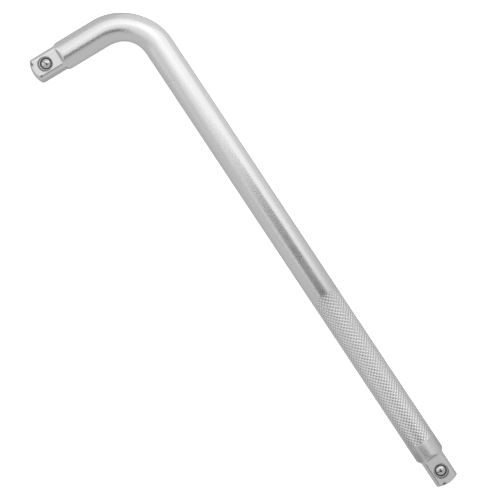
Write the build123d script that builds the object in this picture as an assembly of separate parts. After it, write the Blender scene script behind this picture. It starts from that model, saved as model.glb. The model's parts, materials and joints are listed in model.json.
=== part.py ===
from build123d import *
from math import cos, pi, radians, sin, sqrt, tan
import os

os.makedirs("parts", exist_ok=True)

# L-handle for sockets: one round bar bent into a long and a short arm, with a raised
# cross-knurled grip and a square drive on each end. A sprung steel ball in each drive
# holds the socket. Lengths are in millimetres and angles in degrees.
# The tool lies flat with the balls facing up (+Z), the long arm along X with its drive
# towards -X, and the short arm towards +Y. The origin is under the middle of its box.

# Bar and bend
bar_diameter = 15.9
long_arm_length = 300.0  # from the crossing of the two arms' axes to the tip
short_arm_length = 63.9  # from the same crossing to the other tip
bend_turn = 87.6  # the arms stand a little wider than square
bend_radius = 23.2  # of the bar's centre line
bend_flattening = 0.88  # how much narrower the section is in mid-bend, in the bend's plane

# Knurled grip, a band that stands proud of the bar
grip_length = 92.5
grip_setback = 26.0  # from the long arm's tip to the near end of the grip
grip_rise = 0.1
grip_lead_in = 0.6  # length of the small cone at each end

# Square drives, the same on both arms
drive_across_flats = 12.7
drive_corner_diameter = 15.5  # the corners are turned round before the flats are cut
drive_length = 16.8  # from the tip to the foot of the shoulder
shoulder_length = 1.7
shoulder_foot_radius = 0.6
tip_crown_radius = 13.4
tip_chamfer = 1.0

# Detent pocket, drilled down from the upper flat
detent_setback = 9.0  # from the tip to the ball's centre
pocket_depth = 9.4  # to the end of the straight wall
drill_point_angle = 118.0
lip_depth = 0.35  # the staked lip lies this far under the flat
lip_rim_diameter = 6.5  # where the slope above the lip meets the flat
stake_ring_inner_diameter = 6.7
stake_ring_outer_diameter = 7.8
stake_ring_depth = 0.2

# Detent ball and its spring
ball_diameter = 6.35
ball_rise = 1.33  # above the flat, and so the ball's travel
ball_clearance = 0.04
spring_wire_diameter = 0.6
spring_mean_diameter = 4.0
spring_turns = 4.5
spring_end_clearance = 0.05

# Cutters run past what they cut by this much
overrun = 2.0

# Derived sizes
bar_radius = bar_diameter / 2
corner_radius = drive_corner_diameter / 2
flat_height = drive_across_flats / 2
ball_radius = ball_diameter / 2
bend_tangent = bend_radius * tan(radians(bend_turn / 2))
pocket_radius = ball_radius + ball_clearance
ball_height = flat_height + ball_rise - ball_radius
lip_radius = sqrt(pocket_radius**2 - (flat_height - lip_depth - ball_height) ** 2)
drill_point_slope = 1 / tan(radians(drill_point_angle / 2))


def crown_setback(radius):
    """How far behind the tip its domed end lies at this distance from the axis."""
    return tip_crown_radius - sqrt(tip_crown_radius**2 - radius**2)


def turned_arm(arm_length, collar):
    """A round arm about +X with its tip at the origin. The collar points come after the shoulder."""
    crown_edge = corner_radius - tip_chamfer
    crown_middle = crown_edge / 2
    crown = ThreePointArc(
        (0, 0),
        (crown_setback(crown_middle), crown_middle),
        (crown_setback(crown_edge), crown_edge),
    )
    arm_end = arm_length - bend_tangent
    outline = Polyline(
        (crown_setback(crown_edge), crown_edge),
        (crown_setback(crown_edge) + tip_chamfer, corner_radius),
        (drive_length, corner_radius),
        (drive_length + shoulder_length, bar_radius),
        *collar,
        (arm_end, bar_radius),
        (arm_end, 0),
        (0, 0),
    )
    return revolve(make_face(crown + outline), Axis.X)


def grip_collar():
    """The grip's outline on the long arm, from its near end to its far end."""
    near = grip_setback
    far = grip_setback + grip_length
    crest_radius = bar_radius + grip_rise
    return [
        (near, bar_radius),
        (near + grip_lead_in, crest_radius),
        (far - grip_lead_in, crest_radius),
        (far, bar_radius),
    ]


def flat_cutter():
    """What is milled away above the upper flat, with the sloping shoulder at its end."""
    slope = (bar_radius - flat_height) / shoulder_length
    top = bar_radius + overrun
    outline = Polyline(
        (-overrun, flat_height),
        (drive_length, flat_height),
        (drive_length + (top - flat_height) / slope, top),
        (-overrun, top),
        close=True,
    )
    foot = make_face(outline).vertices().sort_by_distance((drive_length, flat_height))[0]
    section = fillet(foot, shoulder_foot_radius)
    return extrude(Plane.XZ * section, top, both=True)


def pocket_cutter():
    """The drilled pocket with its domed seat, the slope above the lip and the staked ring."""
    ball_centre = Pos(0, 0, ball_height)
    drill_end = flat_height - pocket_depth
    seat = ball_centre * Sphere(pocket_radius)
    bore = revolve(
        Plane.XZ
        * make_face(
            Polyline(
                (0, ball_height),
                (pocket_radius, ball_height),
                (pocket_radius, drill_end),
                (0, drill_end - pocket_radius * drill_point_slope),
                close=True,
            )
        ),
        Axis.Z,
    )
    lip_height = flat_height - lip_depth
    lip_slope = (lip_rim_diameter / 2 - lip_radius) / lip_depth
    mouth = revolve(
        Plane.XZ
        * make_face(
            Polyline(
                (0, lip_height),
                (lip_radius, lip_height),
                (lip_rim_diameter / 2 + overrun * lip_slope, flat_height + overrun),
                (0, flat_height + overrun),
                close=True,
            )
        ),
        Axis.Z,
    )
    ring_inner = stake_ring_inner_diameter / 2
    ring_outer = stake_ring_outer_diameter / 2
    ring = revolve(
        Plane.XZ
        * make_face(
            Polyline(
                (ring_inner, flat_height),
                ((ring_inner + ring_outer) / 2, flat_height - stake_ring_depth),
                (ring_outer, flat_height),
                close=True,
            )
        ),
        Axis.Z,
    )
    return Pos(detent_setback, 0, 0) * (seat + bore + mouth + ring)


def cut_drive(arm):
    """Mill the four flats into an arm's turned end, then drill and stake the pocket."""
    cutter = flat_cutter()
    for side in range(4):
        arm -= Rot(90 * side, 0, 0) * cutter
    return arm - pocket_cutter()


def bend_section(path, share):
    """The bar's section at a share of the bend. Its flattening follows a squared sine."""
    outwards = -(path % share).rotate(Axis.Z, 90)
    plane = Plane(origin=path @ share, x_dir=outwards, z_dir=path % share)
    narrowing = bend_flattening / 2 * sin(pi * share) ** 2
    return plane * (Ellipse(bar_radius - narrowing, bar_radius) if 0 < share < 1 else Circle(bar_radius))


def bend():
    """The bent length between the arms, narrower in its own plane towards mid-bend."""
    path = CenterArc((-bend_tangent, bend_radius), bend_radius, -90, bend_turn)
    quarters = 4
    sections = [bend_section(path, step / quarters) for step in range(quarters + 1)]
    return sweep(sections, path=path, multisection=True)


def steel_ball():
    """The detent ball at rest under its lip."""
    return Pos(detent_setback, 0, ball_height) * Sphere(ball_radius)


def spring_path():
    """The spring's centre line: a helix whose every quarter turn is two tangent arcs."""
    radius = spring_mean_diameter / 2
    wire_radius = spring_wire_diameter / 2
    # The top turn lies in a ring under the ball, and the bottom one on the drill point's cone
    ring_drop = sqrt((ball_radius + wire_radius + spring_end_clearance) ** 2 - radius**2)
    top = ball_height - ring_drop
    cone = flat_height - pocket_depth - (pocket_radius - radius) * drill_point_slope
    seat_gap = (wire_radius + spring_end_clearance) / sin(radians(drill_point_angle / 2))
    bottom = cone + seat_gap
    climb = (top - bottom) / (spring_turns * 2 * pi)

    def point(turn):
        return Vector(radius * cos(turn), radius * sin(turn), bottom + climb * turn)

    def tangent(turn):
        return Vector(-radius * sin(turn), radius * cos(turn), climb).normalized()

    arcs = []
    quarters = round(spring_turns * 4)
    for quarter in range(quarters):
        start = quarter * pi / 2
        end = start + pi / 2
        chord = point(end) - point(start)
        both = tangent(start) + tangent(end)
        spread = 2 - 2 * tangent(start).dot(tangent(end))
        lean = chord.dot(both)
        reach = (-lean + sqrt(lean**2 + spread * chord.dot(chord))) / spread
        meeting = (point(start) + tangent(start) * reach + point(end) - tangent(end) * reach) / 2
        arcs.append(TangentArc(point(start), meeting, tangent=tangent(start)))
        arcs.append(TangentArc(meeting, point(end), tangent=arcs[-1] % 1))
    return Wire(arcs)


def least_gap(path):
    """The smallest clear distance between turns, measured on points along the wire."""
    points_per_turn = 24
    count = round(spring_turns * points_per_turn)
    points = [path @ (step / count) for step in range(count + 1)]
    spans = [
        (points[far] - points[near]).length
        for near in range(count + 1)
        for far in range(near + points_per_turn // 2, count + 1)
    ]
    return min(spans) - spring_wire_diameter


def detent_spring():
    """The compression spring between the ball and the pocket's end."""
    path = spring_path()
    section = Plane(origin=path @ 0, z_dir=path % 0) * Circle(spring_wire_diameter / 2)
    print("least gap between the spring's turns, mm:", round(least_gap(path), 3))
    return Pos(detent_setback, 0, 0) * sweep(section, path=path)


# Arms and bend, with the crossing of the arms' axes at the working origin
place_long = Pos(-long_arm_length, 0, 0)
place_short = Rot(0, 0, bend_turn + 180) * Pos(-short_arm_length, 0, 0)
long_arm = place_long * cut_drive(turned_arm(long_arm_length, grip_collar()))
short_arm = place_short * cut_drive(turned_arm(short_arm_length, []))
bar = long_arm + bend() + short_arm

# The origin goes to the middle of the box's floor
box = bar.bounding_box()
to_origin = Pos(-box.center().X, -box.center().Y, -box.min.Z)

nodes = {
    "bent_bar": bar,
    "short_arm_detent_ball": place_short * steel_ball(),
    "short_arm_detent_spring": place_short * detent_spring(),
    "long_arm_detent_ball": place_long * steel_ball(),
    "long_arm_detent_spring": place_long * detent_spring(),
}
for name, shape in nodes.items():
    export_step(to_origin * shape, f"parts/{name}.step")
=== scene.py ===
"""L-handle socket wrench: a bent chromed bar with a knurled grip, two square drives and their
sprung balls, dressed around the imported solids. Lengths are in metres, +Z is up."""
import json
from math import atan, cos, pi, radians, sin, sqrt, tan
from typing import NamedTuple

import bpy
import numpy as np
from bpy.props import FloatProperty, FloatVectorProperty, IntProperty, PointerProperty
from bpy.types import Operator, Panel, PropertyGroup
from mathutils import Matrix, Vector


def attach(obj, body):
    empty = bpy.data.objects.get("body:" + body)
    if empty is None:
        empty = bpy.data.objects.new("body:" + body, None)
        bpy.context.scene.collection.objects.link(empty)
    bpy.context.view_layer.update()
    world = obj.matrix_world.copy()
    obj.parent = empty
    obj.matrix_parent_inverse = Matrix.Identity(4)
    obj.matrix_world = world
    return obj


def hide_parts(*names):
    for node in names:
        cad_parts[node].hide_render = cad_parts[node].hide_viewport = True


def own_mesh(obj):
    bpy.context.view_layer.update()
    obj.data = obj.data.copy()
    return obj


bl_info = {
    "name": "L-handle socket wrench",
    "version": (1, 0, 0),
    "blender": (4, 5, 0),
    "location": "3D View > Sidebar > Wrench",
    "description": "Builds a bent socket handle with a knurled grip and two sprung square drives",
    "category": "Add Mesh",
}

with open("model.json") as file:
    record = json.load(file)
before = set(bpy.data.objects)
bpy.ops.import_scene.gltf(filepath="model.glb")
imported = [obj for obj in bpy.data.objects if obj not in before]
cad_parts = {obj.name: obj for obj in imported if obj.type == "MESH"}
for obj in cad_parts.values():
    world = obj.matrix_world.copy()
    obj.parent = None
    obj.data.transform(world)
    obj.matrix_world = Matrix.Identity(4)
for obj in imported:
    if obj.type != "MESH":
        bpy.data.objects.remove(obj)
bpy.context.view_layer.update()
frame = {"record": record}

MM = 0.001
UP = np.array([0.0, 0.0, 1.0])
MOUNTS = {mount["name"]: mount for mount in frame["record"]["mounts"]}


def length(name, description, default):
    """A length that a user may change."""
    return FloatProperty(
        name=name, description=description, default=default, min=0.0, unit="LENGTH", precision=5
    )


def angle(name, description, default):
    """An angle that a user may change, given here in degrees."""
    return FloatProperty(name=name, description=description, default=radians(default), unit="ROTATION")


def number(name, description, default, top=1.0):
    """A plain number, such as a share, a count or pixels, from nought to its top."""
    return FloatProperty(name=name, description=description, default=default, min=0.0, max=top)


def colour(name, description, default):
    """A colour in linear light."""
    return FloatVectorProperty(
        name=name, description=description, default=default, subtype="COLOR", size=3, min=0.0, max=1.0
    )


class WrenchBarSizes(PropertyGroup):
    """The bent bar between the drives."""

    diameter: length("Bar diameter", "Diameter of the round bar", 15.9 * MM)
    long_arm: length("Long arm", "From the axes' crossing to the long arm's tip", 300 * MM)
    short_arm: length("Short arm", "From the axes' crossing to the short arm's tip", 63.9 * MM)
    bend_turn: angle("Bend", "How far the bar turns between its arms", 87.6)
    bend_radius: length("Bend radius", "Radius of the bar's centre line in the bend", 23.2 * MM)
    bend_flattening: length("Bend flattening", "How much narrower the section is in mid-bend", 0.88 * MM)


class WrenchGripSizes(PropertyGroup):
    """The knurled band on the long arm."""

    setback: length("Grip setback", "From the long arm's tip to the first diamonds", 26.3 * MM)
    reach: length("Grip reach", "From the long arm's tip to the last diamonds", 120.5 * MM)
    bulge: length("Grip bulge", "How much shorter the band is on the bar's sides", 3.2 * MM)
    fade: length("Grip fade", "Length over which the grooves run out", 1.5 * MM)
    end_margin: length("Grip end margin", "Smooth length of the piece past the last diamonds", 1.6 * MM)
    rise: length("Grip rise", "Height of the diamonds' tips above the bar", 0.1 * MM)
    groove_depth: length("Groove depth", "Greatest depth of one family of grooves", 0.6 * MM)
    flank: angle("Groove flank", "Slope of the grooves' sides", 20.0)
    tip_softness: length("Diamond softness", "Rounding of the diamonds' tips", 0.02 * MM)
    diamond_length: length("Diamond length", "Spacing of the diamonds along the bar", 2.19 * MM)
    # Groove darkening: dirt and painted shade
    dirt_and_shade: number("Groove dirt", "How much of the dirt lies in the grooves", 0.8)
    starts: IntProperty(name="Knurl starts", description="Diamonds round the bar", default=23, min=8)


class WrenchDriveSizes(PropertyGroup):
    """The square drive on each arm."""

    across_flats: length("Across flats", "Width of the square", 12.7 * MM)
    corner_diameter: length("Corner diameter", "Diameter that the corners are turned to", 15.5 * MM)
    length: length("Drive length", "From the tip to the foot of the shoulder", 16.8 * MM)
    shoulder: length("Shoulder", "Length of the slope from the flats to the bar", 1.7 * MM)
    crown_radius: length("Tip crown radius", "Radius of the domed tip", 13.4 * MM)
    chamfer: length("Tip chamfer", "Size of the chamfer round the dome", 1.0 * MM)
    edge_softness: length("Edge softness", "Rounding of the square's edges", 0.22 * MM)
    long_piece: length("Long drive piece", "From the tip to the grip's piece", 24.2 * MM)
    short_piece: length("Short drive piece", "From the tip to the shank's piece", 20.5 * MM)


class WrenchDetentSizes(PropertyGroup):
    """The ball, its pocket and its spring, the same in both drives."""

    ball_diameter: length("Ball diameter", "Diameter of the steel ball", 6.35 * MM)
    ball_rise: length("Ball rise", "How far the ball stands above the flat", 1.33 * MM)
    ball_clearance: length("Ball clearance", "Gap between the ball and its pocket", 0.04 * MM)
    setback: length("Detent setback", "From the tip to the ball's centre", 9.0 * MM)
    pocket_depth: length("Pocket depth", "From the flat to the end of the pocket's wall", 9.4 * MM)
    lip_depth: length("Lip depth", "Depth of the staked lip under the flat", 0.35 * MM)
    rim_diameter: length("Rim diameter", "Where the slope above the lip meets the flat", 6.5 * MM)
    ring_inner: length("Ring inner diameter", "Inner diameter of the staking mark", 6.7 * MM)
    ring_outer: length("Ring outer diameter", "Outer diameter of the staking mark", 7.8 * MM)
    ring_depth: length("Ring depth", "Depth of the staking mark", 0.2 * MM)
    drill_slope: angle("Drill point slope", "Slope of the cone at the pocket's end", 31.0)
    wire_diameter: length("Spring wire", "Diameter of the spring's wire", 0.6 * MM)
    coil_diameter: length("Spring coil", "Mean diameter of the spring's coil", 4.0 * MM)
    coil_turns: number("Spring turns", "Number of turns in the spring", 4.5, 20.0)
    end_clearance: length("Spring end clearance", "Gap at each end of the spring", 0.05 * MM)


class WrenchFinish(PropertyGroup):
    """Colours and finishes."""

    chrome: colour("Satin chrome", "Colour of the plated bar", (0.5495, 0.55, 0.551))
    chrome_roughness: number("Chrome roughness", "How matt the plate is", 0.28)
    grain_size: length("Grain size", "Size of the plate's sandy grain", 0.8 * MM)
    polish: number("Polish", "How bright the diamonds' tips and the edges are", 0.35)
    # How dark the dirt, the nicks and the painted shade are
    dirt_and_shade: number("Dirt", "How dark the dirt and the nicks are", 0.9)
    ball: colour("Polished ball", "Colour of the steel balls", (0.465, 0.463, 0.458))
    # Near-black painted shadow in the pocket's mouth, also used for the unplated steel inside and the
    # nicks' middles
    bare: colour("Bare steel", "Colour of the unplated pocket", (0.04, 0.037, 0.034))
    wire: colour("Spring wire", "Colour of the spring", (0.35, 0.35, 0.36))


class WrenchStudio(PropertyGroup):
    """The floor, the light and the camera."""

    floor: colour("Floor", "Colour of the floor", (0.9, 0.9, 0.9))
    floor_glow: number("Floor glow", "Light that comes up through the floor", 0.6, 4.0)
    surround: number("Surround", "Brightness of the light from all round", 0.856, 4.0)
    underside: number("Underside", "Share of that light from straight below", 0.74)
    key: number("Soft boxes", "How bright the soft boxes are", 1.0, 20.0)
    camera_height: length("Camera height", "Height of the camera above the bar's axis", 699.8 * MM)
    camera_turn: angle("Camera turn", "Turn of the long arm in the picture, down from the right", 56.452)
    pixels_per_metre: number("Picture scale", "Pixels to a metre at the bar's axis", 1883.4, 9999.0)
    picture_width: number("Picture width", "Width of the square picture in pixels", 500.0, 9999.0)
    crossing_column: number("Crossing column", "Pixel column of the axes' crossing", 136.26, 9999.0)
    crossing_row: number("Crossing row", "Pixel row of the axes' crossing", 11.65, 9999.0)


SETTINGS = {
    "wrench_bar": WrenchBarSizes,
    "wrench_grip": WrenchGripSizes,
    "wrench_drive": WrenchDriveSizes,
    "wrench_detent": WrenchDetentSizes,
    "wrench_finish": WrenchFinish,
    "wrench_studio": WrenchStudio,
}


def settings(name):
    """One of the groups of sizes above."""
    return getattr(bpy.context.scene, "wrench_" + name)


class Wear(NamedTuple):
    """One arm's marks. Turns are in degrees, from the upper flat's middle or from the arm's run."""

    lean: float  # of the staking mark towards the tip
    film: float  # thin dirt over the whole drive
    ring: float  # dirt and painted shade in the staking mark
    foot: float  # painted shade along the flats' feet
    neck: float  # painted shade on the shoulder's sides
    nicks: tuple  # in the drive's edges: distance from the tip, turn, half-width and force of each
    dark_line: float  # turn of the dark line on the ball
    painted_reflection: tuple  # painted dark reflection on the ball: turn, distance from its top and force


WEAR = {
    "long": Wear(
        lean=0.6, film=0.16, ring=1.0, foot=0.0, neck=1.0,
        dark_line=-89.0, painted_reflection=(-89.0, 0.15 * MM, 2.8),
        nicks=((2.2 * MM, -20, 0.8 * MM, 1.25),),
    ),
    "short": Wear(
        lean=0.75, film=0.0, ring=1.3, foot=0.9, neck=0.0,
        dark_line=61.0, painted_reflection=(-112.0, 0.45 * MM, 1.3),
        nicks=((2.4 * MM, 29, 1.2 * MM, 1.2), (3.4 * MM, -37, 0.5 * MM, 1.2)),
    ),
}

# Meshes


def ring_faces(rows, columns):
    """Quads between neighbouring rows of a grid of vertices, each row running once round a section."""
    vertex = np.arange(rows * columns).reshape(rows, columns)
    following = np.roll(vertex, -1, axis=1)
    return np.stack([vertex[:-1], following[:-1], following[1:], vertex[1:]], -1).reshape(-1, 4)


def fan_faces(ring, centre):
    """Triangles from a closed ring of vertices to one more vertex."""
    return np.stack([ring, np.roll(ring, -1), np.full(len(ring), centre)], -1)


def closed_rows(rows, columns):
    """Faces for rows of vertices that close on a point at each end. The two points follow the rows."""
    count = rows * columns
    first = fan_faces(np.arange(columns)[::-1], count)
    last = fan_faces(np.arange(count - columns, count), count + 1)
    return [ring_faces(rows, columns), first, last]


def smooth_step(value, start=0.0, end=1.0):
    """Nought up to the start, one from the end on, and 3v² - 2v³ at a share v of the way between."""
    v = np.clip((value - start) / (end - start), 0, 1)
    return v * v * (3 - 2 * v)


def bell(value, middle, width):
    """exp(-((value - middle) / width)²): one at the middle, fading out on both sides."""
    return np.exp(-(((value - middle) / width) ** 2))


def ridge(value, middle, width):
    """One at the middle, falling evenly to nought at the width on both sides."""
    return np.clip(1 - np.abs(value - middle) / width, 0, 1)


def soft_minimum(first, second, width):
    """The lesser of two values, less (width - their difference)² / 4 width where they differ by less
    than the width."""
    near = np.clip(width - np.abs(first - second), 0, None)
    return np.minimum(first, second) - near**2 / (4 * width)


def in_scene(name, data):
    """A new object in the scene."""
    item = bpy.data.objects.new(name, data)
    bpy.context.scene.collection.objects.link(item)
    return item


def finished_piece(name, points, face_groups, material, crease=40.0, **marks):
    """A mesh object from an array of points and arrays of faces, in the shared frame. Points that no face
    uses are left out, and edges sharper than the crease angle stay sharp. A mark holds a number for each
    point, and any last points that it leaves out have nought."""
    used, places = np.unique(np.concatenate([group.ravel() for group in face_groups]), return_inverse=True)
    parts = np.split(places, np.cumsum([group.size for group in face_groups])[:-1])
    faces = [face for part, group in zip(parts, face_groups) for face in part.reshape(group.shape).tolist()]
    mesh = bpy.data.meshes.new(name)
    mesh.from_pydata(points[used], [], faces)
    mesh.polygons.foreach_set("use_smooth", np.ones(len(faces), bool))
    for label, values in marks.items():
        whole = np.zeros(len(points), np.float32)
        whole[: np.size(values)] = np.ravel(values)
        mesh.attributes.new(label, "FLOAT", "POINT").data.foreach_set("value", whole[used])
    mesh.validate()
    mesh.set_sharp_from_angle(angle=radians(crease))
    mesh.materials.append(material)
    return in_scene(name, mesh)


# The bar's own axes


class CentreLine:
    """The bar's centre line, by the distance from the long arm's tip: a straight run, an arc and a
    straight run. Beside it lie two axes, one away from the bend's centre and one straight up."""

    def __init__(self):
        self.bar = bar = settings("bar")
        self.radius = bar.diameter / 2
        tangent = bar.bend_radius * tan(bar.bend_turn / 2)
        self.crossing = MOUNTS["long_drive"]["pos_m"] + np.array([bar.long_arm, 0, 0])
        self.bend_centre = self.crossing + [-tangent, bar.bend_radius, 0]
        self.bend_start = bar.long_arm - tangent
        self.bend_end = self.bend_start + bar.bend_radius * bar.bend_turn
        self.length = self.bend_end + bar.short_arm - tangent

    def from_tip(self, arm, distance):
        """The distance along the centre line of a place at a distance from that arm's tip."""
        return distance if arm == "long" else self.length - distance

    def axes(self, distance):
        """The point, the direction along, the direction away from the bend's centre, and the bend's share:
        the point is the bend's centre plus R (sin a, -cos a), carried on along either straight run."""
        turned = np.clip((distance - self.bend_start) / self.bar.bend_radius, 0, self.bar.bend_turn)
        nought = np.zeros_like(turned)
        outward = np.stack([np.sin(turned), -np.cos(turned), nought], -1)
        along = np.stack([np.cos(turned), np.sin(turned), nought], -1)
        run_on = np.minimum(distance - self.bend_start, 0) + np.maximum(distance - self.bend_end, 0)
        point = self.bend_centre + self.bar.bend_radius * outward + run_on[..., None] * along
        return point, along, outward, turned / self.bar.bend_turn

    def box_points(self, distance, across, height):
        """Points at a distance along, across and above the centre line. Across shrinks in the bend, to
        1 - flattening / 2 * (sin(pi * the bend's share))² / the bar's radius of itself."""
        distance, across, height = np.broadcast_arrays(distance, across, height)
        point, _, outward, bend_share = self.axes(distance)
        narrowing = 1 - self.bar.bend_flattening / 2 * np.sin(pi * bend_share) ** 2 / self.radius
        return point + (across * narrowing)[..., None] * outward + height[..., None] * UP

    def surface(self, distance, radius, turn):
        """Points at a radius and a turn from straight up, round the centre line at a distance along it."""
        return self.box_points(distance, radius * np.sin(turn), radius * np.cos(turn))


def spread(start, *runs):
    """Values from the start on, in runs: each run is its last value and its number of steps."""
    stops = [[start]]
    for end, steps in runs:
        stops.append(np.linspace(start, end, steps + 1)[1:])
        start = end
    return np.concatenate(stops)


def from_top(turn):
    """The same turn round the bar, between -pi and pi, with nought straight up."""
    return (turn + pi) % (2 * pi) - pi


def grip_end_painted_shade(along, turn):
    """Painted dark reflection beside the grip's far end: exp(-(length past the end) / its fade), sooner
    gone under the knurl, times a little all round and more in a line along the top."""
    fade, knurl_fade = 12 * MM, 3 * MM
    all_round, on_top = 0.06, 0.55
    past = along - settings("grip").reach
    fading = np.exp(-np.where(past > 0, past / fade, -past / knurl_fade))
    return fading * (all_round + on_top * bell(from_top(turn), middle=0.0, width=0.3))


def build_shank(material):
    """The smooth bar from the grip to the short arm's drive: a circle of the bar's radius, narrowed in
    the bend, carried along the centre line."""
    grip, drive, line = settings("grip"), settings("drive"), CentreLine()
    columns = 128
    start, end = grip.reach + grip.end_margin, line.length - drive.short_piece
    stations = spread(start, (line.bend_start, 60), (line.bend_end, 72), (end, 10))[:, None]
    turns = np.arange(columns) * 2 * pi / columns
    body = line.surface(stations, line.radius, turns).reshape(-1, 3)
    points = np.concatenate([body, line.axes(np.array([start, end]))[0]])
    # Painted dark reflection along the top beside the grip's end
    faces, soil = closed_rows(len(stations), columns), grip_end_painted_shade(stations, turns)
    return finished_piece("shank", points, faces, material, milled=0, bare=0, soil=soil, worn=0)


def groove_height(phase, pitch):
    """The height over a family of V grooves that lie at whole numbers of the phase: the distance to the
    nearest groove times the flank's slope, softly limited to the groove's depth."""
    grip = settings("grip")
    rise = (0.5 - np.abs(phase - np.floor(phase) - 0.5)) * pitch * tan(grip.flank)
    return soft_minimum(rise, np.full_like(rise, grip.groove_depth), grip.tip_softness)


def neck_shade(along, turn):
    """Painted shade on the sides of the neck beside the long drive: exp(-(length past the neck) / its fade)
    times a band on the near side, with a painted lit line in it, and a fainter band on the far side."""
    neck, fade = 22 * MM, 10 * MM
    near_band, loss_lower_down, lit_line, far_band = 0.55, 0.2, 0.8, 0.35
    turn = from_top(turn)
    near = (1 - smooth_step(turn, -0.1, 0.2)) * (near_band - loss_lower_down * smooth_step(-turn, 0.8, 1.4))
    near = near * (1 - lit_line * bell(turn, middle=-0.45, width=0.2))
    far = far_band * smooth_step(turn, 0.5, 1.1)
    return np.exp(-np.clip(along - neck, 0, None) / fade) * (near + far)


def build_grip(material):
    """The knurled band. Two families of helical grooves cross, and the diamonds stand between them: the
    height is the sum of the families' heights, whose phases are starts * turns round + and - length /
    diamond length. The vertices lie in rows offset by half a column, and the faces are diamonds."""
    grip, drive, line = settings("grip"), settings("drive"), CentreLine()
    steps = 6  # of the mesh, from one groove of a family to the next
    columns = grip.starts * steps
    spacing = grip.diamond_length / (2 * steps)
    start, end = drive.long_piece, grip.reach + grip.end_margin
    rows = round((end - start) / spacing) + 1
    row, column = np.meshgrid(np.arange(rows), np.arange(columns), indexing="ij")
    turn = (column + 0.5 * (row % 2)) * 2 * pi / columns
    along = start + row * (end - start) / (rows - 1)
    around, lengthways = grip.starts * turn / (2 * pi), (start + row * spacing) / grip.diamond_length
    pitch = 1 / np.hypot(grip.starts / (2 * pi * line.radius), 1 / grip.diamond_length)
    height = groove_height(around + lengthways, pitch) + groove_height(around - lengthways, pitch)
    far = grip.reach - grip.bulge * np.sin(turn) ** 2
    inside = smooth_step((along - grip.setback) / grip.fade) * smooth_step((far - along) / grip.fade)
    radius = line.radius + (grip.rise + height - height.max()) * inside
    body = line.surface(along, radius, turn).reshape(-1, 3)
    points = np.concatenate([body, line.axes(np.array([start, end]))[0]])

    # A diamond's corners lie in three rows, and the middle two are left and right in the row between
    first, column = row[:-2] * columns + column[:-2], column[:-2] + row[:-2] % 2
    right, left = (row[1:-1] * columns + (column - step) % columns for step in (0, 1))
    diamonds = np.stack([first, right, first + 2 * columns, left], -1).reshape(-1, 4)
    ring = np.arange(columns)
    near_edge = np.stack([ring, np.roll(ring, -1), columns + ring], -1)
    final, before = (rows - 1) * columns, (rows - 2) * columns
    between = before + (ring + (rows - 1) % 2) % columns
    far_edge = np.stack([final + ring, between, final + np.roll(ring, -1)], -1)
    faces = [diamonds, near_edge, far_edge]
    faces += [fan_faces(ring[::-1], len(body)), fan_faces(final + ring, len(body) + 1)]

    # Dirt and painted shade in the grooves, painted lighter on the lit side and darkest along the crown
    level, facing = height / height.max(), from_top(turn)
    painted_lit_side = 0.65 * bell(facing, middle=0.5, width=0.4)
    painted_crown_shade = 0.9 * bell(facing, middle=-0.05, width=0.35) * (1 - smooth_step(level, end=0.4))
    soil = (grip.dirt_and_shade * (1 - painted_lit_side) * (1 - smooth_step(level, end=0.6)) + painted_crown_shade) * inside
    soil = np.clip(soil + neck_shade(along, turn) + grip_end_painted_shade(along, turn), 0, 1)
    worn = smooth_step(level, 0.4, 0.8) * inside
    marks = {"milled": 0, "bare": 0, "soil": soil, "worn": worn}
    return finished_piece("knurled_grip", points, faces, material, crease=15.0, **marks)


def rounded_profile(corners, steps=6):
    """A line through corners of (length, radius, rounding), each corner replaced by an arc: the arc
    touches both runs at rounding * tan(half the turn) from the corner."""
    places = np.array([corner[:2] for corner in corners], float)
    out = [places[:1]]
    for before, place, after, (_, _, rounding) in zip(places, places[1:], places[2:], corners[1:-1]):
        arriving = (place - before) / np.linalg.norm(place - before)
        leaving = (after - place) / np.linalg.norm(after - place)
        bend = np.arctan2(arriving[0] * leaving[1] - arriving[1] * leaving[0], arriving @ leaving)
        if rounding == 0 or abs(bend) < 1e-6:
            out.append([place])
            continue
        reach = rounding * tan(abs(bend) / 2)
        side = np.sign(bend) * np.array([-arriving[1], arriving[0]])
        centre = place - reach * arriving + rounding * side
        swing = np.linspace(0, abs(bend), steps + 1)[:, None]
        out.append(centre - rounding * np.cos(swing) * side + rounding * np.sin(swing) * arriving)
    return np.concatenate([*out, places[-1:]])


def refined(profile, longest):
    """A profile with its long runs divided, so that no step is longer than given."""
    steps = np.ceil(np.linalg.norm(np.diff(profile, axis=0), axis=1) / longest).astype(int).clip(1)
    runs = zip(profile, profile[1:], steps)
    pieces = [start + (end - start) * np.arange(count)[:, None] / count for start, end, count in runs]
    return np.concatenate(pieces + [profile[-1:]])


def turned_end(piece_length):
    """The round end's outline as (length, radius) rows: a dome of the crown radius, a chamfer, the corner
    diameter, the shoulder's cone and the bar."""
    drive, line = settings("drive"), CentreLine()
    margin, longest_step = 0.35 * MM, 0.4 * MM
    dome_rounding, chamfer_rounding, shoulder_rounding = 0.5 * MM, 0.6 * MM, 0.8 * MM
    corner, crown = drive.corner_diameter / 2, drive.crown_radius
    edge = corner - drive.chamfer
    radii = np.linspace(margin, edge - margin, 16)
    dome = np.stack([crown - np.sqrt(crown**2 - radii**2), radii], -1)
    edge_set = crown - sqrt(crown**2 - edge**2)
    corners = [
        (*dome[-1], 0),
        (edge_set, edge, dome_rounding),
        (edge_set + drive.chamfer, corner, chamfer_rounding),
        (drive.length, corner, shoulder_rounding),
        (drive.length + drive.shoulder, line.radius, shoulder_rounding),
        (piece_length, line.radius, 0),
    ]
    return refined(np.concatenate([dome[:-1], rounded_profile(corners)]), longest_step)


def flat_heights(along):
    """The flats' height above the axis at a distance from the tip: level, then a slope to the bar's
    radius, with a soft foot."""
    drive, line = settings("drive"), CentreLine()
    foot_softness = 0.25 * MM
    half = drive.across_flats / 2
    slope = (line.radius - half) / drive.shoulder
    rising = half + (along - drive.length) * slope
    return -soft_minimum(-rising, np.full_like(rising, -half), foot_softness)


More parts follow.
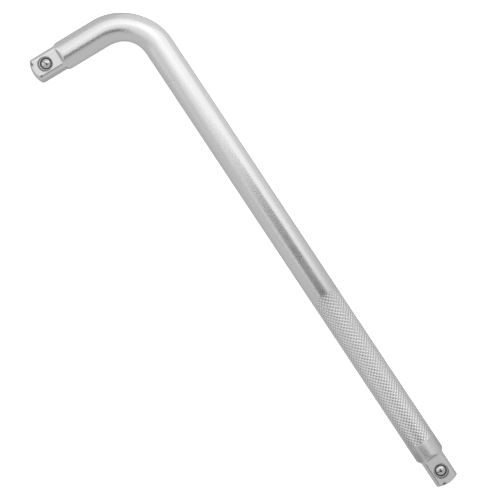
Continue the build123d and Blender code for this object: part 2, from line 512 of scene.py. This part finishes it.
def octant_turns():
    """Turns round the bar from straight down to straight down, close together at the square's edges."""
    drive = settings("drive")
    edge = np.arccos(drive.across_flats / drive.corner_diameter)
    soft = radians(4)
    eighth = spread(0.0, (edge - soft, 11), (edge + soft, 14), (pi / 4, 3))
    quarter = np.concatenate([eighth, pi / 2 - eighth[-2::-1]])
    half = np.concatenate([quarter, pi / 2 + quarter[1:]])
    return np.concatenate([-half[-2:0:-1], half])


def ball_seat():
    """The heights of the flat and of the ball's middle above the bar's axis, and between them the radii of
    the ball and of its pocket."""
    detent, flat = settings("detent"), settings("drive").across_flats / 2
    ball = detent.ball_diameter / 2
    return flat, ball, ball + detent.ball_clearance, flat + detent.ball_rise - ball


def pocket_outline():
    """The pocket as (radius, height) rows from the flat inwards: the staking mark, the slope to the lip,
    the ball's seat, the bore and the drill point's cone."""
    detent = settings("detent")
    margin, mark_rounding, rim_rounding = 0.25 * MM, 0.12 * MM, 0.06 * MM
    core, longest_step = 0.3 * MM, 1.5 * MM
    flat, _, wall, height = ball_seat()
    lip, floor = flat - detent.lip_depth, flat - detent.pocket_depth
    inner, outer = detent.ring_inner / 2, detent.ring_outer / 2
    corners = [
        (outer + margin, flat, 0),
        (outer, flat, mark_rounding),
        ((inner + outer) / 2, flat - detent.ring_depth, mark_rounding),
        (inner, flat, rim_rounding),
        (detent.rim_diameter / 2, flat, rim_rounding),
        (sqrt(wall**2 - (lip - height) ** 2), lip, 0),
    ]
    mouth = rounded_profile(corners, steps=4)
    rise = np.linspace(np.arcsin((lip - height) / wall), 0, 7)[1:]
    seat = np.stack([wall * np.cos(rise), height + wall * np.sin(rise)], -1)
    bore = np.array([seat[-1], (wall, floor), (core, floor - (wall - core) * tan(detent.drill_slope))])
    return np.concatenate([mouth[1:], seat, refined(bore, longest_step)[1:]])


def nick_depths(arm, along, turns):
    """The nicks in the tip's edge: each is force * exp(-(length / 0.5 mm)² - (way round / half-width)²)."""
    radius, nick_length = CentreLine().radius, 0.5 * MM
    return sum(
        force * bell(along, place, nick_length) * bell(turns * radius, radians(side) * radius, half_width)
        for place, side, half_width, force in WEAR[arm].nicks
    )


def body_marks(arm, along, turns, excess, nicks):
    """How milled, bare or painted near-black, darkened by dirt and painted shade, and worn a drive's body
    is.
    The excess, how far the turned outline lies outside the square, is above nought on the milled flats and
    about nought on their worn edges."""
    drive, wear = settings("drive"), WEAR[arm]
    end = drive.length + drive.shoulder
    milled = smooth_step(excess / (0.3 * MM) + 0.5)
    # Painted shade in the crease at the flats' feet
    foot = wear.foot * ridge(along, middle=drive.length + 0.4 * MM, width=0.45 * MM) * milled
    # Painted shade: a dark line along one edge of the upper flat
    painted_edge_shade = ridge(excess, middle=-0.33 * MM, width=0.3 * MM) * (turns < 0) * (turns > -pi / 4)
    painted_edge_shade = painted_edge_shade * smooth_step(along, 2.5 * MM, 3.5 * MM) * smooth_step(drive.length - along, end=MM)
    film = wear.film * smooth_step(end - along, end=2 * MM)
    # Painted shade on the neck's sides
    shade = wear.neck * neck_shade(along, turns) * smooth_step(along, drive.length, end) * (1 - milled)
    edges = ridge(excess, middle=0.0, width=0.5 * MM) * (along < end) * (np.abs(turns) < pi / 4)
    return {
        "milled": milled,
        "bare": smooth_step(nicks - 0.5),
        "soil": np.clip(foot + 0.8 * painted_edge_shade + nicks + film + shade, 0, 1),
        "worn": edges * (1 - painted_edge_shade),
    }


def mouth_marks(arm, pocket, bearing, apron_rows):
    """The same for the rings round and in the pocket: near-black painted shadow from the rim inwards, over
    the unplated steel inside, and dirt with painted shade in the staking mark, least on the side away from
    the tip."""
    drive, detent, wear = settings("drive"), settings("detent"), WEAR[arm]
    depth = drive.across_flats / 2 - pocket[:, 1:]
    inside = pocket[:, :1] <= detent.rim_diameter / 2
    # Near-black painted shadow from the rim inwards, over the unplated steel
    bare = np.where(depth > detent.lip_depth, 1, smooth_step(depth, end=0.03 * MM) * inside)
    mark = (detent.ring_inner + detent.ring_outer) / 4 + 0.12 * MM
    # Dirt and painted shade in the staking mark
    dirt_and_shade = wear.ring * bell(pocket[:, :1], mark, 0.28 * MM) * (0.7 - 0.3 * np.cos(bearing))
    soil = np.clip(dirt_and_shade + wear.film, 0, 1) * (1 - inside)
    apron = np.zeros((apron_rows, len(bearing)))
    soil = np.concatenate([apron + wear.film, soil])
    bare = np.concatenate([apron, np.broadcast_to(bare, (len(pocket), len(bearing)))])
    return {"milled": np.ones_like(soil), "bare": bare, "soil": soil, "worn": np.zeros_like(soil)}


def build_drive(arm, material):
    """A square drive. At each distance from the tip its radius is the soft minimum of the turned outline
    and of the square, whose radius is the flat's height over the greater of |cos turn| and |sin turn|.
    A block of the upper flat is replaced by rings that narrow to the pocket's round outline."""
    drive, detent, line = settings("drive"), settings("detent"), CentreLine()
    piece_length, nick_depth = getattr(drive, f"{arm}_piece"), 0.15 * MM
    outline, turns = turned_end(piece_length), octant_turns()
    rows, columns = len(outline), len(turns)
    along, turned = outline[:, :1], outline[:, 1:]
    square = flat_heights(along) / np.maximum(np.abs(np.cos(turns)), np.abs(np.sin(turns)))
    nicks = nick_depths(arm, along, turns)
    radius = soft_minimum(turned, square, drive.edge_softness) - nicks * nick_depth
    body = line.surface(line.from_tip(arm, along), radius, turns).reshape(-1, 3)

    # The block that makes way for the pocket, its edge as one loop, and the rings from it inwards
    half_width, half_length = 4.1 * MM, 5.4 * MM
    flat = drive.across_flats / 2
    left, right = np.flatnonzero(np.abs(turns) <= atan(half_width / flat))[[0, -1]]
    near, far = np.flatnonzero(np.abs(outline[:, 0] - detent.setback) <= half_length)[[0, -1]]
    vertex = np.arange(rows * columns).reshape(rows, columns)
    sides = [vertex[near, left:right], vertex[near:far, right]]
    sides += [vertex[far, right:left:-1], vertex[far:near:-1, left]]
    loop = np.concatenate(sides)
    loop_row, loop_column = np.divmod(loop, columns)
    loop_along, loop_across = outline[loop_row, 0] - detent.setback, flat * np.tan(turns[loop_column])
    bearing, reach = np.arctan2(loop_across, loop_along), np.hypot(loop_across, loop_along)
    pocket = pocket_outline()
    beyond_rim = np.clip(pocket[:, :1] - detent.rim_diameter / 2, 0, None)
    pocket_radius = pocket[:, :1] - WEAR[arm].lean * beyond_rim * np.cos(bearing)
    shares = np.array([0.25, 0.5, 0.75])[:, None]
    apron = reach + (pocket_radius[0] - reach) * shares
    ring_radius = np.concatenate([apron, pocket_radius])
    ring_height = np.concatenate([np.full_like(shares, flat), pocket[:, 1:]])
    ring_along = line.from_tip(arm, detent.setback + ring_radius * np.cos(bearing))
    rings = line.box_points(ring_along, ring_radius * np.sin(bearing), ring_height).reshape(-1, 3)

    bottom = flat - detent.pocket_depth - detent.ball_diameter / 2 * tan(detent.drill_slope)
    middles = line.from_tip(arm, np.array([0.0, piece_length, detent.setback]))
    points = np.concatenate([body, rings, line.box_points(middles, 0.0, np.array([0.0, 0.0, bottom]))])
    tip_at, back_at, bottom_at = len(body) + len(rings) + np.arange(3)

    kept = np.ones((rows - 1, columns), bool)
    kept[near:far, left:right] = False
    first_ring = len(body) + np.arange(len(loop))
    last_ring = first_ring + len(rings) - len(loop)
    groups = [
        ring_faces(rows, columns)[kept.ravel()],
        np.stack([loop, np.roll(loop, -1), np.roll(first_ring, -1), first_ring], -1),
        len(body) + ring_faces(len(ring_radius), len(loop)),
        fan_faces(last_ring, bottom_at),
        fan_faces(vertex[0, ::-1], tip_at),
        fan_faces(vertex[-1], back_at),
    ]
    if arm == "short":
        groups = [group[:, ::-1] for group in groups]
    on_body = body_marks(arm, along, turns, turned - square, nicks)
    on_rings = mouth_marks(arm, pocket, bearing, len(shares))
    marks = {
        label: np.concatenate([values.ravel(), on_rings[label].ravel(), [0, 0, label == "bare"]])
        for label, values in on_body.items()
    }
    return finished_piece(f"{arm}_drive", points, groups, material, crease=50.0, **marks)


def build_ball(arm, material):
    """A sphere: rows of latitude from pole to pole, each a circle of radius times the cosine of latitude.
    A dark line, exp(-(distance from it / its width)²), runs from the top to one side past a painted dark
    reflection."""
    detent, line = settings("detent"), CentreLine()
    _, radius, _, height = ball_seat()
    rows, columns = 79, 144
    latitude = (np.arange(1, rows + 1) / (rows + 1) - 0.5)[:, None] * pi
    longitude = np.arange(columns)[None, :] * 2 * pi / columns
    flat = np.cos(latitude)
    level = np.broadcast_to(np.sin(latitude), (rows, columns))
    unit = np.stack([flat * np.cos(longitude), flat * np.sin(longitude), level], -1).reshape(-1, 3)
    unit = np.concatenate([unit, [-UP, UP]])
    points = line.box_points(line.from_tip(arm, detent.setback), 0.0, height) + radius * unit

    _, along, outward, _ = line.axes(line.from_tip(arm, 0.0))
    turn, reach, force = WEAR[arm].painted_reflection
    dark_line_turn, painted_reflection_turn = radians(WEAR[arm].dark_line), radians(turn)
    run = cos(dark_line_turn) * along + sin(dark_line_turn) * outward
    dark_line = bell(unit @ np.cross(UP, run), middle=0.0, width=0.2 * MM / radius)
    dark_line = dark_line * smooth_step(unit @ run, end=0.15) * smooth_step(unit @ UP, 0.5, 0.7)
    painted_reflection = radius * UP + reach * (cos(painted_reflection_turn) * along + sin(painted_reflection_turn) * outward)
    off_painted_reflection = np.linalg.norm(unit * radius - painted_reflection, axis=1)
    marks = np.clip(dark_line + force * bell(off_painted_reflection, middle=0.0, width=0.5 * MM), 0, 1)
    return finished_piece(f"{arm}_detent_ball", points, closed_rows(rows, columns), material, soil=marks)


def spring_ends():
    """The heights above the bar's axis of the spring's two ends, on the drill point's cone and round the
    underside of the ball."""
    detent = settings("detent")
    flat, ball, wall, height = ball_seat()
    wire, coil = detent.wire_diameter / 2, detent.coil_diameter / 2
    top = height - sqrt((ball + wire + detent.end_clearance) ** 2 - coil**2)
    cone = flat - detent.pocket_depth - (wall - coil) * tan(detent.drill_slope)
    return cone + (wire + detent.end_clearance) / cos(detent.drill_slope), top


def build_spring(arm, material):
    """A coil: a helix carrying a small circle that stands square to it, closed flat at each end."""
    detent, line = settings("detent"), CentreLine()
    bottom, top = spring_ends()
    coil, wire = detent.coil_diameter / 2, detent.wire_diameter / 2
    steps_per_turn, columns = 40, 14
    steps = int(detent.coil_turns * steps_per_turn)
    origin, along, outward, _ = line.axes(line.from_tip(arm, detent.setback))
    if arm == "short":
        along, outward = -along, -outward
    swing = np.linspace(0, detent.coil_turns * 2 * pi, steps + 1)[:, None]
    inner = np.cos(swing) * along - np.sin(swing) * outward
    outer = np.sin(swing) * along + np.cos(swing) * outward
    climb = (top - bottom) / (detent.coil_turns * 2 * pi)
    centre = origin + coil * inner + (bottom + climb * swing) * UP
    forward = (climb * UP - coil * outer) / np.hypot(coil, climb)
    binormal = np.cross(inner, forward)
    turn = np.arange(columns)[None, :, None] * 2 * pi / columns
    ring = wire * (np.cos(turn) * inner[:, None] + np.sin(turn) * binormal[:, None])
    points = np.concatenate([(centre[:, None] + ring).reshape(-1, 3), centre[[0, -1]]])
    faces = [group[:, ::-1] for group in closed_rows(steps + 1, columns)]
    return finished_piece(f"{arm}_detent_spring", points, faces, material)


# Materials


class Channel:
    """A number socket in a material. Sums and products of channels add Math nodes."""

    def __init__(self, paint, socket):
        self.paint, self.socket = paint, socket

    def _join(self, operation, first, second):
        return self.paint.number("ShaderNodeMath", {"operation": operation}, {0: first, 1: second})

    def __add__(self, other):
        return self._join("ADD", self, other)

    __radd__ = __add__

    def __sub__(self, other):
        return self._join("SUBTRACT", self, other)

    def __rsub__(self, other):
        return self._join("SUBTRACT", other, self)

    def __mul__(self, other):
        return self._join("MULTIPLY", self, other)

    __rmul__ = __mul__


WHITE = (1, 1, 1, 1)


class Paint:
    """The node tree, in the making, of the world or of a new material with that name."""

    def __init__(self, name=None, world=None):
        self.owner = world or bpy.data.materials.new(name)
        self.owner.use_nodes = True
        self.tree = self.owner.node_tree
        self.tree.nodes.clear()

    def node(self, kind, options=None, inputs=None):
        """A node of that type: its options are set first, then its inputs' values or links."""
        made = self.tree.nodes.new(kind)
        for option, value in (options or {}).items():
            setattr(made, option, value)
        for key, value in (inputs or {}).items():
            value = value.socket if isinstance(value, Channel) else value
            if isinstance(value, bpy.types.NodeSocket):
                self.tree.links.new(value, made.inputs[key])
            else:
                made.inputs[key].default_value = value
        return made

    def number(self, kind, options=None, inputs=None, output=0):
        """A node whose output is used as a number."""
        return Channel(self, self.node(kind, options, inputs).outputs[output])

    def place(self):
        """The point's own coordinates on the object, in metres."""
        return self.node("ShaderNodeTexCoord").outputs["Object"]

    def mark(self, name):
        """A number kept at each point of the mesh."""
        return self.number("ShaderNodeAttribute", {"attribute_name": name}, output="Fac")

    def noise(self, size, detail, roughness):
        """Cloudy noise whose patches are about as large as given."""
        inputs = {"Vector": self.place(), "Scale": 1 / size, "Detail": detail, "Roughness": roughness}
        return self.number("ShaderNodeTexNoise", inputs=inputs)

    def blend(self, weight, first, second):
        """A colour from the first to the second by a weight."""
        inputs = {0: weight, 6: first, 7: second}
        return self.node("ShaderNodeMix", {"data_type": "RGBA"}, inputs).outputs[2]

    def bump(self, height, distance, strength=1.0):
        """A normal tilted by a height, which is in metres at height one."""
        inputs = {"Height": height, "Distance": distance, "Strength": strength}
        return self.node("ShaderNodeBump", inputs=inputs).outputs["Normal"]

    def surface(self, **inputs):
        """The finished material. The shader's inputs are named as on the node, with underscores."""
        sockets = {key.replace("_", " ").title(): value for key, value in inputs.items()}
        shader = self.node("ShaderNodeBsdfPrincipled", inputs=sockets)
        self.node("ShaderNodeOutputMaterial", inputs={"Surface": shader.outputs[0]})
        return self.owner


def shaded(base, factor):
    """A colour made lighter or darker by a factor."""
    return (*(min(1.0, part * factor) for part in base), 1)


def satin_chrome():
    """Matt chrome with a fine sandy grain, faint cloudiness, milling marks on the flats, brighter worn
    edges, darkening by dirt and painted shade, and near-black painted shadow over the unplated steel in the
    pocket."""
    finish = settings("finish")
    paint = Paint("chrome_finish")
    cloud_size, wave_spacing, grain_height = 14 * MM, 5 * MM, 0.036 * MM
    grain = paint.noise(finish.grain_size, 3.0, 0.6)
    fine = paint.noise(finish.grain_size * 0.35, 2.0, 0.5)
    cloud = paint.noise(cloud_size, 2.0, 0.5)
    milled, bare, soil, worn = (paint.mark(name) for name in ("milled", "bare", "soil", "worn"))
    shape = {"Scale": 1 / wave_spacing, "Distortion": 3.0, "Detail": 2.0, "Detail Scale": 1.5}
    options = {"wave_type": "BANDS", "bands_direction": "X"}
    waves = paint.number("ShaderNodeTexWave", options, {"Vector": paint.place(), **shape})
    tone = paint.blend(grain, shaded(finish.chrome, 0.96), shaded(finish.chrome, 1.04))
    # Milled flats a little darker, worn edges brighter, and the soil mark darkens by dirt and painted shade
    for weight, factor in ((milled * 0.5, 0.9), (worn * finish.polish, 1.3), (soil * finish.dirt_and_shade, 0.15)):
        tone = paint.blend(weight, tone, shaded(finish.chrome, factor))
    unevenness = (cloud - 0.5) * 0.06 + (grain - 0.5) * 0.1
    # Near-black painted shadow in the pocket where the bare mark is
    return paint.surface(
        metallic=1.0,
        base_color=paint.blend(bare, tone, shaded(finish.bare, 1)),
        roughness=finish.chrome_roughness + unevenness + bare * 0.25 + milled * 0.14,
        normal=paint.bump(grain + fine * 0.2 + waves * milled * 0.3, grain_height),
        specular_tint=shaded(WHITE[:3], 0.8),
    )


def polished_ball():
    """Polished bearing steel with a slightly warm cast, fine scuffs and a trace of oil."""
    finish = settings("finish")
    paint = Paint("ball_finish")
    scuff_size, film_size, scuff_height = 0.8 * MM, 2.5 * MM, 0.002 * MM
    scuff, film = paint.noise(scuff_size, 4.0, 0.7), paint.noise(film_size, 2.0, 0.5)
    tone = paint.blend(film, shaded(finish.ball, 0.85), shaded(finish.ball, 1.1))
    # Near-black painted dark reflection near the top, and a dark line
    tone = paint.blend(paint.mark("soil") * 0.95, tone, shaded(finish.ball, 0.06))
    relief = paint.bump(scuff, scuff_height, 0.5)
    return paint.surface(metallic=1.0, base_color=tone, roughness=0.02 + scuff * 0.06, normal=relief)


def spring_steel():
    """Drawn spring wire: dull grey with streaks."""
    finish = settings("finish")
    paint = Paint("wire_finish")
    streak_size, streak_height = 0.4 * MM, 0.01 * MM
    streak = paint.noise(streak_size, 3.0, 0.6)
    tone = paint.blend(streak, shaded(finish.wire, 0.7), shaded(finish.wire, 1.2))
    relief = paint.bump(streak, streak_height, 0.5)
    return paint.surface(metallic=1.0, base_color=tone, roughness=0.3 + streak * 0.15, normal=relief)


def pale_floor():
    """Pale matt board with a faint mottle, lit from below as on a light table."""
    studio = settings("studio")
    paint = Paint("pale_floor")
    mottle_size = 60 * MM
    mottle = paint.noise(mottle_size, 2.0, 0.5)
    tone = paint.blend(mottle, shaded(studio.floor, 0.99), shaded(studio.floor, 1.01))
    glow = {"emission_color": WHITE, "emission_strength": studio.floor_glow}
    return paint.surface(base_color=tone, roughness=0.8, **glow)


# The studio


def picture_axes():
    """The picture's right and up directions on the floor, and the point at its middle on the axis plane."""
    studio, line = settings("studio"), CentreLine()
    right = np.array([-cos(studio.camera_turn), -sin(studio.camera_turn), 0])
    up = np.cross(UP, right)
    middle = studio.picture_width / 2
    across = (middle - studio.crossing_column) / studio.pixels_per_metre
    down = (middle - studio.crossing_row) / studio.pixels_per_metre
    return right, up, line.crossing + across * right - down * up


def studio_direction(tilt, bearing):
    """A unit vector, tilted from straight up towards a bearing clockwise from the picture's up."""
    right, up, _ = picture_axes()
    lean = sin(radians(tilt)) * (cos(radians(bearing)) * up + sin(radians(bearing)) * right)
    return lean + cos(radians(tilt)) * UP


def place_facing(item, tilt, bearing, spin, distance):
    """Puts an object at a distance from the picture's middle, facing it. The angles are in degrees, and
    its width lies level at no spin."""
    _, _, target = picture_axes()
    direction, level = studio_direction(tilt, bearing), studio_direction(90, bearing + 90)
    side = level * cos(radians(spin)) + np.cross(direction, level) * sin(radians(spin))
    axes = np.stack([side, np.cross(direction, side), direction], 1)
    item.location = Vector(target + direction * distance)
    item.rotation_euler = Matrix(axes.tolist()).to_euler()


def soft_box(name, size, brightness, **position):
    """A rectangular light whose face has that brightness: its power is brightness * pi * area."""
    lamp = bpy.data.lights.new(name, "AREA")
    lamp.shape = "RECTANGLE"
    lamp.size, lamp.size_y = size
    lamp.energy = brightness * pi * size[0] * size[1]
    item = in_scene(name, lamp)
    item.visible_camera = False
    place_facing(item, **position)


def flag(name, size, shade, **position):
    """A card that takes light away from one direction: a thin slab, not seen by the camera."""
    half = np.array([size[0] / 2, size[1] / 2, 2 * MM])
    signs = np.array([[x, y, z] for x in (-1, 1) for y in (-1, 1) for z in (-1, 1)])
    faces = [[0, 1, 3, 2], [4, 6, 7, 5], [0, 4, 5, 1], [2, 3, 7, 6], [0, 2, 6, 4], [1, 5, 7, 3]]
    card = Paint(name).surface(base_color=(shade, shade, shade, 1), roughness=0.9)
    item = finished_piece(name, signs * half, [np.array(faces)], card)
    item.visible_camera = item.visible_diffuse = False
    place_facing(item, **position)


def light_from_all_round(world, brightness, underside):
    """Light that is even over the upper half and falls to a share of itself straight below: it is
    brightness * (1 - (1 - underside) * min(z, 0) to the fourth) at a height z of the direction."""
    paint = Paint(world=world)
    direction = paint.node("ShaderNodeTexCoord").outputs["Generated"]
    height = paint.number("ShaderNodeSeparateXYZ", inputs={0: direction}, output="Z")
    below = paint.number("ShaderNodeMath", {"operation": "MINIMUM"}, {0: height, 1: 0.0})
    fourth = paint.number("ShaderNodeMath", {"operation": "POWER"}, {0: below, 1: 4.0})
    strength = fourth * ((underside - 1) * brightness) + brightness
    light = paint.node("ShaderNodeBackground", inputs={"Color": WHITE, "Strength": strength})
    paint.node("ShaderNodeOutputWorld", inputs={"Surface": light.outputs[0]})


def build_studio():
    """The floor, the light from all round, the soft boxes, the dark cards and the camera."""
    studio = settings("studio")
    scene = bpy.context.scene
    half = 4.0
    corners = np.array([(-half, -half, 0), (half, -half, 0), (half, half, 0), (-half, half, 0)])
    floor = finished_piece("floor", corners, [np.arange(4)[None]], pale_floor())
    floor.visible_glossy = floor.visible_shadow = False

    scene.world = scene.world or bpy.data.worlds.new("studio")
    light_from_all_round(scene.world, studio.surround, studio.underside)
    main_light, far_light, card_shade = 0.525 * studio.key, 0.278 * studio.key, 0.1
    soft_box("left_box", (4.5, 1.326), main_light, tilt=47.7, bearing=-55.1, spin=-28.1, distance=1.474)
    soft_box("right_box", (0.881, 4.038), main_light, tilt=19.3, bearing=38.8, spin=-0.2, distance=1.039)
    soft_box("far_box", (0.87, 2.873), far_light, tilt=77, bearing=21.7, spin=-5.1, distance=0.6)
    flag("camera_card", (0.414, 0.112), card_shade, tilt=3.9, bearing=112.2, spin=-28.5, distance=0.354)
    flag("lower_card", (0.571, 0.137), card_shade, tilt=36.8, bearing=190, spin=32.3, distance=0.79)

    right, _, middle = picture_axes()
    lens = bpy.data.cameras.new("camera")
    lens.lens_unit = "FOV"
    lens.angle = 2 * atan(studio.picture_width / 2 / studio.pixels_per_metre / studio.camera_height)
    lens.clip_start, lens.clip_end = 0.01, 20.0
    scene.camera = in_scene("camera", lens)
    scene.camera.location = Vector(middle + studio.camera_height * UP)
    scene.camera.rotation_euler = (0, 0, np.arctan2(right[1], right[0]))
    view = scene.view_settings
    view.view_transform, view.look = "Standard", "None"
    view.exposure, view.gamma = 0.0, 1.0


# The add-on


def chrome_material():
    """The one satin chrome that every piece of the bar shares."""
    return bpy.data.materials.get("chrome_finish") or satin_chrome()


def dress_bar(piece):
    """A piece of the bar rides on the handle and stands for the bar's solid."""
    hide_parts("bent_bar")
    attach(piece, "handle")


class WRENCH_OT_shank(Operator):
    """Build the smooth shank and its bend"""

    bl_idname = "wrench.shank"
    bl_label = "Shank and bend"

    def execute(self, context):
        dress_bar(build_shank(chrome_material()))
        return {"FINISHED"}


class WRENCH_OT_grip(Operator):
    """Build the knurled grip on the long arm"""

    bl_idname = "wrench.grip"
    bl_label = "Knurled grip"

    def execute(self, context):
        dress_bar(build_grip(chrome_material()))
        return {"FINISHED"}


class WRENCH_OT_drives(Operator):
    """Build the square drive on each arm, with its pocket"""

    bl_idname = "wrench.drives"
    bl_label = "Square drives"

    def execute(self, context):
        for arm in WEAR:
            dress_bar(build_drive(arm, chrome_material()))
        return {"FINISHED"}


class WRENCH_OT_detents(Operator):
    """Build the sprung balls and their springs"""

    bl_idname = "wrench.detents"
    bl_label = "Detent balls and springs"

    def execute(self, context):
        steel, wire = polished_ball(), spring_steel()
        bottom, top = spring_ends()
        keep = 1 - settings("detent").ball_rise / (top - bottom)
        for arm in WEAR:
            ball = build_ball(arm, steel)
            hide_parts(f"{arm}_arm_detent_ball")
            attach(ball, f"{arm}_arm_ball")
            spring = build_spring(arm, wire)
            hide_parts(f"{arm}_arm_detent_spring")
            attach(spring, "handle")
            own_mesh(spring)
        return {"FINISHED"}


class WRENCH_OT_studio(Operator):
    """Set up the floor, the light and the camera"""

    bl_idname = "wrench.studio"
    bl_label = "Floor, light and camera"

    def execute(self, context):
        build_studio()
        return {"FINISHED"}


OPERATORS = (WRENCH_OT_shank, WRENCH_OT_grip, WRENCH_OT_drives, WRENCH_OT_detents, WRENCH_OT_studio)


class WRENCH_PT_sidebar(Panel):
    """The wrench's sizes and the buttons that build its pieces"""

    bl_label = "L-handle wrench"
    bl_space_type = "VIEW_3D"
    bl_region_type = "UI"
    bl_category = "Wrench"

    def draw(self, context):
        for operator in OPERATORS:
            self.layout.operator(operator.bl_idname)
        for name, group in SETTINGS.items():
            box = self.layout.box()
            for field in group.__annotations__:
                box.prop(getattr(context.scene, name), field)


def register():
    for name, group in SETTINGS.items():
        bpy.utils.register_class(group)
        setattr(bpy.types.Scene, name, PointerProperty(type=group))
    for item in (*OPERATORS, WRENCH_PT_sidebar):
        bpy.utils.register_class(item)


def unregister():
    for item in (WRENCH_PT_sidebar, *reversed(OPERATORS)):
        bpy.utils.unregister_class(item)
    for name, group in SETTINGS.items():
        delattr(bpy.types.Scene, name)
        bpy.utils.unregister_class(group)


def main():
    register()
    bpy.ops.wrench.studio()
    bpy.ops.wrench.shank()
    bpy.ops.wrench.grip()
    bpy.ops.wrench.drives()
    bpy.ops.wrench.detents()
    bpy.context.view_layer.update()


if __name__ == "__main__":
    main()
